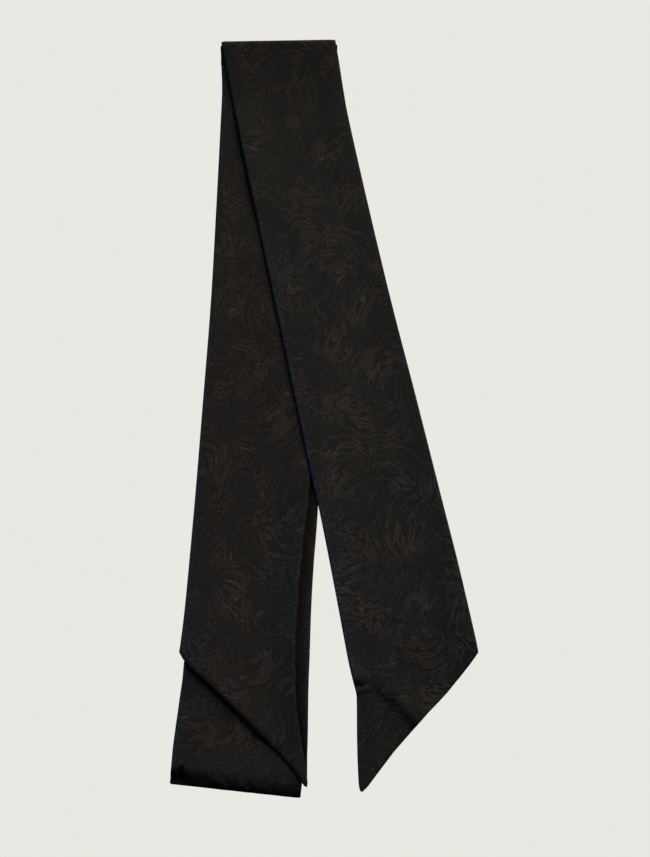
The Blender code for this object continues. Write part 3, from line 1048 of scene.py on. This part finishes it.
@dataclass(frozen=True)
class JacquardSilk:
    """Black silk jacquard: a matt ground with a smoother, slightly browner figure of leaf plumes.

    Woven on a jacquard loom of one black warp and one off-black weft, so the eye sees black on
    black, and the figure only where its longer floats catch the light.

    Attributes:
        repeat: Width and height of one repeat of the figure, in millimetres.
        plumes: The figure's plumes.
        ground: Colour of the matt ground.
        figure: Colour of the figure's floats.
        float_line: Colour of the threads that outline it, where they catch light.
        sunk_line: Colour of the threads that lie sunk beside them.
        rolled: Colour of the back ply beyond the seam: its own darker tone and painted shade by the
            seam.
        cool: How the colour is scaled for the painted cool light, a painted bluish reflection.
        brown: The same where it is browner, from the top turn on.
        painted_rim_light: The same on the left folded edge, painted lighter and bluer as a rim
            highlight.
        painted_edge_shade: The same on the front tail's outermost left threads, painted darker and
            less blue.
    """

    repeat: tuple[float, float] = (118.0, 172.0)
    plumes: tuple[Plume, ...] = (
        Plume((92, 150), 168, 62, 46, 1.1, 8, 1),
        Plume((26, 120), 30, 60, 44, -1.5, 8, 2),
        Plume((104, 88), 215, 66, 48, -1.2, 9, 3),
        Plume((10, 62), 318, 50, 40, 1.5, 6, 4),
        Plume((74, 44), 52, 56, 44, 1.4, 7, 5),
        Plume((56, 8), 140, 56, 44, -1.3, 7, 6),
        Plume((110, 20), 235, 44, 42, 1.7, 6, 7),
        Plume((44, 80), 100, 42, 46, 1.5, 6, 8),
        Plume((70, 118), 275, 40, 40, -1.6, 5, 9),
        Plume((20, 166), 330, 46, 40, 1.6, 6, 10),
    )
    ground: str = "#1B1A18"
    figure: str = "#25221F"
    float_line: str = "#3A3530"
    sunk_line: str = "#100E0E"
    rolled: str = "#120F0B"
    cool: tuple[float, float, float] = (0.84, 0.9, 1.15)
    brown: tuple[float, float, float] = (0.98, 0.93, 0.87)
    painted_rim_light: tuple[float, float, float] = (1.25, 1.3, 1.75)
    painted_edge_shade: tuple[float, float, float] = (0.8, 0.7, 0.42)

    @staticmethod
    def line_at(
        add: Adder, value: Value, level: float, far: float, near: float, strength: float
    ) -> Value:
        """A line where a value passes a level.

        Args:
            add: Adds a node to the material.
            value: The value.
            level: The level that it passes.
            far: How far from the level the line has faded out.
            near: How far from it the line is at its full strength.
            strength: That strength.

        Returns:
            How strong the line is.
        """
        away = add("Math ABSOLUTE", add("Math SUBTRACT", value, level))
        return add("MapRange", away, far, near, 0.0, strength)

    @staticmethod
    def tinted(add: Adder, colour: Value, share: Value, scale: tuple[float, float, float]) -> Value:
        """The colour with its channels scaled, where the share is 1."""
        scaled = add("VectorMath MULTIPLY", colour, scale)
        return add("Mix", share, colour, scaled, data_type="VECTOR")

    def plume_group(self) -> bpy.types.NodeTree:
        """Makes the node group that lays one plume over the flow of the figure below it.

        Its Flow runs along and across the lobes, and its Marks hold the plume's plain rim, how
        finely it is rayed and its outline.

        Returns:
            The group.
        """
        group = bpy.data.node_groups.new("curled plume", "ShaderNodeTree")
        vectors = ("Point", "Flow", "Marks", "Base")
        numbers = ("Turn", "Length", "Spread", "Curl", "Lobes", "Seed")
        for name in (*vectors, *numbers):
            kind = f"NodeSocket{'Vector' if name in vectors else 'Float'}"
            group.interface.new_socket(name, in_out="INPUT", socket_type=kind)
        for name in ("Flow", "Marks"):
            group.interface.new_socket(name, in_out="OUTPUT", socket_type="NodeSocketVector")
        point, flow, marks, base, turn, length, spread, curl, lobes, seed = group.nodes.new(
            "NodeGroupInput"
        ).outputs[:10]
        add = partial(add_node, group)
        half = (self.repeat[0] / 2, self.repeat[1] / 2, 1.0)
        away = add("VectorMath SUBTRACT", point, base)
        away = add("VectorMath WRAP", away, half, tuple(-h for h in half))
        away = add("VectorRotate", away, None, turn, rotation_type="Z_AXIS")
        place = add("SeparateXYZ", away).node.outputs
        reached = add("VectorMath LENGTH", away)
        out = add("Math DIVIDE", reached, length)
        angle = add("Math ARCTAN2", place["Y"], place["X"])
        wound = add("Math MULTIPLY", out, curl)
        bent = add("Math SUBTRACT", angle, wound)
        opening = add("Math MULTIPLY_ADD", out, 0.7, 0.3)
        side = add("Math DIVIDE", bent, spread)
        side = add("Math MULTIPLY", side, opening)
        offset = add("Math MULTIPLY", seed, 3.1)
        across = add("Math MULTIPLY_ADD", side, lobes, offset)
        in_lobe = add("Math FRACT", across)
        lobe = add("Math FLOOR", across)
        chance = add("TexWhiteNoise", lobe, noise_dimensions="1D")
        shorter = add("Math MULTIPLY_ADD", chance, -0.16, 1.0)
        squared = add("Math MULTIPLY", side, side)
        taper = add("Math MULTIPLY_ADD", squared, -0.42, 1.0)
        tip = add("Math MULTIPLY", taper, shorter)
        off_middle = add("Math SUBTRACT", in_lobe, 0.5)
        rounded = add("Math MULTIPLY", off_middle, off_middle)
        tip = add("Math MULTIPLY_ADD", rounded, -0.55, tip)
        to_tip = add("Math SUBTRACT", tip, out)
        to_tip = add("Math MULTIPLY", to_tip, 2.0)
        to_side = add("Math ABSOLUTE", side)
        to_side = add("Math MULTIPLY_ADD", to_side, -1.5, 1.5)
        inside = add("Math MINIMUM", to_tip, to_side)
        covered = add("MapRange", inside, 0.0, 0.04, 0.0, 1.0)
        along = add("Math MULTIPLY", reached, 0.1)
        start = add("Math MULTIPLY_ADD", seed, 7.3, along)
        new_flow = add("CombineXYZ", start, across)
        next_flow = add("Mix", covered, flow, new_flow, data_type="VECTOR")
        outer = add("Math SIGN", curl)
        outer = add("Math MULTIPLY", side, outer)
        rim = add("MapRange", outer, 0.785, 0.815, 0.0, 1.0)
        past_base = add("MapRange", out, 0.1, 0.2, 0.0, 1.0)
        rim = add("Math MULTIPLY", rim, past_base)
        rays = add("Math SUBTRACT", 1.15, out, use_clamp=True)
        new_marks = add("CombineXYZ", rim, rays)
        next_marks = add("Mix", covered, marks, new_marks, data_type="VECTOR")
        outline = add("Math COMPARE", inside, 0.03, 0.022)
        edge = add("CombineXYZ", 0.0, 0.0, outline)
        next_marks = add("VectorMath ADD", next_marks, edge)
        add("NodeGroupOutput", next_flow, next_marks)
        return group

    def painted_cool_light(
        self, tree: bpy.types.NodeTree, cloth: bpy.types.NodeSocket, y: bpy.types.NodeSocket
    ) -> bpy.types.NodeSocket:
        """Lays out the painted cool light: more so towards its ends, its folded edges and its seam.

        Args:
            tree: The material's nodes.
            cloth: The place on the cloth, in millimetres.
            y: The place on the piece, in metres, along the way that it lies.

        Returns:
            The share of the painted cool light.
        """
        add = partial(add_node, tree)
        low = add("MapRange", y, 0.06, -0.15, 0.0, 1.0)
        across = add("SeparateXYZ", cloth, give="X")
        across = add("Math ABSOLUTE", across)
        left = add("MapRange", across, 8.0, 0.0, 0.0, 1.0)
        left = add("Math MULTIPLY", left, left)
        rising = add("MapRange", across, 58.0, 74.0, 0.0, 0.55)
        falling = add("MapRange", across, 80.0, 87.0, 1.0, 0.0)
        right = add("Math MULTIPLY", rising, falling)
        past_seam = add("Attribute", attribute_name="past_seam", give="Fac")
        rising = add("MapRange", past_seam, -28.0, -9.0, 0.0, 0.75)
        falling = add("MapRange", past_seam, -5.0, -2.0, 1.0, 0.0)
        upper = add("MapRange", y, -0.09, -0.13, 0.0, 1.0)
        lower = add("MapRange", y, -0.218, -0.19, 0.0, 1.0)
        seam = rising
        for factor in (falling, upper, lower):
            seam = add("Math MULTIPLY", seam, factor)
        uneven = add("TexNoise", cloth, 1 / 30, 0.0, noise_dimensions="2D")
        uneven = add("MapRange", uneven, 0.3, 0.7, 0.1, 0.6)
        painted_cool_share = add("Math ADD", seam, right)
        painted_cool_share = add("Math ADD", painted_cool_share, uneven)
        painted_cool_share = add("Math MULTIPLY", painted_cool_share, low)
        weight = add("Math MULTIPLY_ADD", low, 0.55, 0.45)
        painted_cool_share = add("Math MULTIPLY_ADD", left, weight, painted_cool_share)
        return painted_cool_share

    def material(self) -> bpy.types.Material:
        """Makes the material, which reads the cloth coordinates of each piece."""
        material = bpy.data.materials.new("silk_jacquard")
        material.use_nodes = True
        tree = material.node_tree
        shader = tree.nodes["Principled BSDF"]
        add = partial(add_node, tree)
        cloth = add("UVMap", uv_map="cloth")
        cloth = add("VectorMath SCALE", cloth, 1 / MM)
        place = add("TexCoord", give="Object")
        y = add("SeparateXYZ", place, give="Y")
        painted_cool_share = self.painted_cool_light(tree, cloth, y)
        past_seam = add("Attribute", attribute_name="past_seam", give="Fac")
        rolled = add("MapRange", past_seam, -0.1, 0.35, 0.0, 1.0)
        own_place = cloth
        along = add("SeparateXYZ", cloth, give="Y")
        along = add("Math SUBTRACT", along, Layout.bottom_turn / MM)
        # beyond the seam lies the other ply, so another part of the figure
        shift = add("VectorMath SCALE", (61.0, 37.0, 0.0), rolled)
        cloth = add("VectorMath ADD", cloth, shift)
        # threads never lie quite straight: the figure wanders by some millimetres
        point = cloth
        for size, reach in ((21, 7.0), (5, 1.3), (1.7, 0.3)):
            wander = add("TexNoise", cloth, 1 / size, 0.0, noise_dimensions="2D", give="Color")
            wander = add("VectorMath SUBTRACT", wander, (0.5, 0.5, 0.5))
            point = add("VectorMath MULTIPLY_ADD", wander, (reach,) * 3, point)
        flow = add("VectorMath MULTIPLY", point, (1 / 4.0, 1 / 3.2, 0.0))
        marks = (0.0, 0.0, 0.0)
        group = self.plume_group()
        for plume in self.plumes:
            plume_flow = add("Group", point, flow, marks, *plume.values(), node_tree=group)
            flow, marks = plume_flow.node.outputs
        rim, rays, outline = add("SeparateXYZ", marks).node.outputs
        across = add("SeparateXYZ", flow, give="Y")
        # scrolls: bands where a noise along the flow passes a level
        broad = add("TexNoise", flow, 1.0, 0.0, noise_dimensions="2D")
        finer = add("VectorMath MULTIPLY", flow, (1.7, 2.1, 0.0))
        finer = add("TexNoise", finer, 1.0, 0.0, noise_dimensions="2D")
        level = add("Math MULTIPLY_ADD", broad, 2.0, -1.3)
        level = add("Math MULTIPLY_ADD", finer, 0.6, level)
        figure = add("MapRange", level, 0.06, 0.12, 0.0, 1.0)
        figure = add("Math MAXIMUM", figure, rim)
        # some stretches of the figure are woven calmer, and all the filling between the plumes
        calm = add("TexNoise", point, 1 / 26, 0.0, noise_dimensions="2D")
        in_plume = add("MapRange", rays, 0.0, 0.1, 0.7, 1.0)
        clear = add("MapRange", calm, 0.42, 0.6, 0.25, 0.95)
        bolder = add("MapRange", along, -700.0, -1070.0, 0.75, 1.35)
        for factor in (clear, in_plume, bolder):
            figure = add("Math MULTIPLY", figure, factor)
        # rays: threads that run out along the lobes
        in_lobe = add("Math FRACT", across)
        chance = add("TexWhiteNoise", add("Math FLOOR", across), noise_dimensions="1D")
        strength = add("MapRange", chance, 0.35, 0.75, 0.0, 0.7)
        ray = add("Math MULTIPLY", self.line_at(add, in_lobe, 0.5, 0.16, 0.02, 1.0), strength)
        doubled = add("Math FRACT", add("Math MULTIPLY_ADD", across, 2.0, 0.5))
        thin_ray = add("Math MULTIPLY", self.line_at(add, doubled, 0.5, 0.12, 0.0, 0.15), rays)
        sunk_ray = self.line_at(add, in_lobe, 0.28, 0.15, 0.01, 0.3)
        ray, thin_ray, sunk_ray = (
            add("Math MULTIPLY", line, rays) for line in (ray, thin_ray, sunk_ray)
        )
        # outlines of the scrolls
        lit = self.line_at(add, level, 0.09, 0.055, 0.01, 0.8)
        sunk = self.line_at(add, level, -0.02, 0.06, 0.01, 0.35)
        # small hooks fill the ground between the figure
        hooks = add("TexNoise", point, 0.42, 0.0, noise_dimensions="2D")
        hooks = self.line_at(add, hooks, 0.5, 0.035, 0.008, 1.0)
        breaks = add("TexNoise", point, 0.3, 0.0, noise_dimensions="2D")
        breaks = add("MapRange", breaks, 0.47, 0.57, 0.0, 0.55)
        hooks = add("Math MULTIPLY", hooks, breaks)
        light = lit
        for other in (hooks, ray, thin_ray):
            light = add("Math MAXIMUM", light, other)
        dark = add("Math MAXIMUM", sunk, sunk_ray)
        plain = add("Math SUBTRACT", 1.0, rim)
        within = add("Math SUBTRACT", 1.0, outline, use_clamp=True)
        calm = add("MapRange", calm, 0.42, 0.6, 0.5, 1.0)
        crisper = add("MapRange", along, -950.0, -1070.0, 1.0, 1.35)
        lines = add("Math SUBTRACT", light, dark)
        for factor in (plain, within, calm, crisper):
            lines = add("Math MULTIPLY", lines, factor)
        lines = add("Math MULTIPLY_ADD", outline, -0.35, lines)
        lights = add("Math MAXIMUM", lines, 0.0, use_clamp=True)
        darks = add("Math MULTIPLY", lines, -1.0, use_clamp=True)
        # the weave itself is too fine to show, so its grain is drawn about 0.7 mm coarse
        grain = add("TexNoise", cloth, 0.85, 1.0, 0.7, noise_dimensions="2D")
        thread = add("VectorMath MULTIPLY", cloth, (1.5, 0.12, 0.0))
        thread = add("TexNoise", thread, 1.0, 1.0, noise_dimensions="2D")
        grain = add("Math MULTIPLY_ADD", thread, 0.35, grain)
        ground, raised = linear(self.ground), linear(self.figure)
        colour = add("Mix", figure, ground, raised, data_type="RGBA")
        colour = add("Mix", lights, colour, linear(self.float_line), data_type="RGBA")
        colour = add("Mix", darks, colour, linear(self.sunk_line), data_type="RGBA")
        edge = add("Math ABSOLUTE", add("SeparateXYZ", cloth, give="X"))
        outermost = add("MapRange", edge, 0.5, 1.6, 1.0, 0.0)
        front = add("MapRange", along, -570.0, -560.0, 1.0, 0.0)
        # painted highlight: the left folded edge is painted lighter and bluer, more so lower down
        painted_rim_share = add("MapRange", edge, 0.9, 3.8, 1.0, 0.0)
        lower = add("MapRange", y, 0.1, -0.1, 0.5, 1.0)
        browner = add("MapRange", along, -760.0, -590.0, 0.0, 1.0)
        colour = self.tinted(add, colour, browner, self.brown)
        # painted reflection: a bluish tint that stands in for cool light on the silk
        colour = self.tinted(add, colour, painted_cool_share, self.cool)
        painted_rim_light = add("VectorMath MULTIPLY", colour, self.painted_rim_light)
        # painted shade: the front tail's outermost left threads are painted darker and less blue
        colour = self.tinted(add, colour, add("Math MULTIPLY", outermost, front), self.painted_edge_shade)
        painted_rim_share = add("Math MULTIPLY", painted_rim_share, lower)
        colour = add("Mix", painted_rim_share, colour, painted_rim_light, data_type="VECTOR")
        # the back ply's darker colour with painted shade: full beside the seam, fading towards the
        # edge
        dark = add("MapRange", past_seam, 1.0, 9.0, 1.0, 0.15)
        dark = add("Math MULTIPLY", dark, rolled)
        colour = add("Mix", dark, colour, linear(self.rolled), data_type="RGBA")
        # painted shade beside the seam and over the strip, more so lower down
        seam = add("MapRange", past_seam, -24.0, -10.0, 0.0, 0.22)
        seam = add("Math MULTIPLY", seam, add("MapRange", y, -0.19, -0.225, 0.15, 1.0))
        from_turn = add("Math ABSOLUTE", along)
        from_left = add("SeparateXYZ", own_place, give="X")
        # the grain is the silk's own; the factors below are painted light and shade
        shade = add("MapRange", grain, 0.35, 1.0, 0.63, 1.37, clamp=False)
        for measure, start, end, at_start, at_end in (
            # painted light and shade: darker near the bottom turn, lighter away from it
            (from_turn, 120.0, 660.0, 0.82, 1.1),
            # a painted highlight up to 30 mm from the bottom turn
            (from_turn, 13.0, 30.0, 1.25, 1.0),
            # painted shade within 14 mm of the bottom turn
            (from_turn, 5.0, 14.0, 0.68, 1.0),
            # painted shade: darker at its upper tip, along its right edge and beside the seam
            (along, -1010.0, -1065.0, 1.0, 0.77),
            (from_left, 77.0, 84.0, 1.0, 0.83),
            (seam, 0.0, 1.0, 1.0, 0.0),
        ):
            factor = add("MapRange", measure, start, end, at_start, at_end)
            shade = add("Math MULTIPLY", shade, factor)
        colour = add("VectorMath SCALE", colour, shade)
        tree.links.new(colour, shader.inputs["Base Color"])
        rough = add("MapRange", figure, 0.0, 1.0, 0.6, 0.54)
        tree.links.new(rough, shader.inputs["Roughness"])
        bump = add("Bump", 0.35, 0.25 * MM, None, grain)
        tree.links.new(bump, shader.inputs["Normal"])
        shader.inputs["Specular IOR Level"].default_value = 0.015
        shader.inputs["Diffuse Roughness"].default_value = 0.35
        return material


class LightKind(Enum):
    """How a light shines."""

    FAR = "SUN"
    PANEL = "AREA"


@dataclass(frozen=True)
class Lamp:
    """A soft light, turned to the middle of the scarf.

    Attributes:
        name: Its name.
        kind: A broad light from far away, or a square panel close by.
        place: The direction that it comes from, or where the panel stands, in metres.
        strength: Its irradiance, or the panel's power in watts.
        colour: Its linear colour.
        breadth: How broad it is, in degrees, or the panel's side in metres.
    """

    name: str
    kind: LightKind
    place: tuple[float, float, float]
    strength: float
    colour: tuple[float, float, float]
    breadth: float

    def build(self) -> None:
        """Adds it to the scene."""
        light = bpy.data.lights.new(self.name, self.kind.value)
        light.energy = self.strength
        light.color = self.colour
        lamp = bpy.data.objects.new(self.name, light)
        if self.kind is LightKind.FAR:
            light.angle = math.radians(self.breadth)
        else:
            light.size = self.breadth
            lamp.location = self.place
        lamp.rotation_euler = Vector(self.place).to_track_quat("Z", "Y").to_euler()
        bpy.context.scene.collection.objects.link(lamp)


@dataclass(frozen=True)
class Studio:
    """A pale, evenly lit floor, soft light from all round and the camera over the scarf.

    Attributes:
        floor_colour: Colour of the floor.
        floor_size: Its side.
        world: Strength of the light from all round.
        lamps: The lights.
        lens: Focal length of the camera, in millimetres.
        camera_place: Where the camera stands.
        camera_target: What it looks at.
    """

    floor_colour: str = "#E9E8E2"
    floor_size: float = 6.0
    world: float = 0.09
    lamps: tuple[Lamp, ...] = (
        Lamp("key", LightKind.FAR, (0.26, 0.9, 0.38), 6.1, (1.0, 0.995, 0.955), 26),
        Lamp("warm_side", LightKind.FAR, (1.0, 0.6, 0.4), 1.9, (1.0, 0.93, 0.83), 30),
        Lamp("cool_panel", LightKind.PANEL, (-0.8, 0.0, 0.15), 4.4, (0.3, 0.4, 1.0), 0.3),
    )
    lens: float = 50.0
    camera_place: tuple[float, float, float] = (-0.00065, -0.23315, 0.839)
    camera_target: tuple[float, float, float] = (-0.00065, -0.02765, 0.0)

    def build(self) -> None:
        """Adds floor, world, lights and camera."""
        bpy.context.scene.view_settings.view_transform = "Standard"
        self.floor()
        world = bpy.data.worlds.new("studio")
        world.use_nodes = True
        background = world.node_tree.nodes["Background"]
        background.inputs["Color"].default_value = (1.0, 1.0, 1.0, 1.0)
        background.inputs["Strength"].default_value = self.world
        bpy.context.scene.world = world
        for lamp in self.lamps:
            lamp.build()
        camera = bpy.data.cameras.new("camera")
        camera.lens = self.lens
        view = bpy.data.objects.new("camera", camera)
        bpy.context.scene.collection.objects.link(view)
        view.location = self.camera_place
        aim = Vector(self.camera_target) - view.location
        view.rotation_euler = aim.to_track_quat("-Z", "Y").to_euler()
        bpy.context.scene.camera = view

    def floor(self) -> None:
        """Adds the floor: acrylic lit from below, so it is pale and even and takes no shadow."""
        bpy.ops.object.select_all(action="DESELECT")
        bpy.ops.mesh.primitive_plane_add(size=self.floor_size, location=(0, 0, -0.2 * MM))
        floor = bpy.context.object
        floor.name = "floor"
        acrylic = bpy.data.materials.new("lit_acrylic")
        acrylic.use_nodes = True
        shader = acrylic.node_tree.nodes["Principled BSDF"]
        shader.inputs["Base Color"].default_value = (0.0, 0.0, 0.0, 1.0)
        shader.inputs["Roughness"].default_value = 0.9
        shader.inputs["Specular IOR Level"].default_value = 0.0
        shader.inputs["Emission Color"].default_value = linear(self.floor_colour)
        shader.inputs["Emission Strength"].default_value = 1.0
        acrylic.cycles.emission_sampling = "NONE"
        floor.visible_diffuse = floor.visible_glossy = False
        floor.data.materials.append(acrylic)


def main() -> None:
    """Builds every piece of the scarf and the studio around it."""
    logging.basicConfig(level=logging.INFO, format="%(message)s")
    band, heights = Band(), Heights.of_frame()
    maker = TubeMaker(band)
    silk = JacquardSilk().material()
    upper_start = Layout.inner_turn - UnderTail.turn.lip
    upper = HiddenRun("hidden_upper_run", Ply.FRONT, upper_start, -1.0)
    back_start = Layout.top_turn + FrontTail.turn.lip
    back = HiddenRun("hidden_back_run", Ply.BACK, back_start, 1.0)
    pieces = {
        "front_tail": [FrontTail().build(maker, heights)],
        "under_tail": [UnderTail().build(maker, heights)],
        "lower_run": [LowerRun().build(maker, heights)],
        "hidden_layers": [
            upper.build(maker, heights.lower_run),
            back.build(maker, heights.back_run),
        ],
    }
    for node, cloths in pieces.items():
        for piece in cloths:
            piece.data.materials.append(silk)
            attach(piece, "root")
            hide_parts(node)
            log.info("%s: %d faces", piece.name, len(piece.data.polygons))
    Studio().build()


if __name__ == "__main__":
    main()
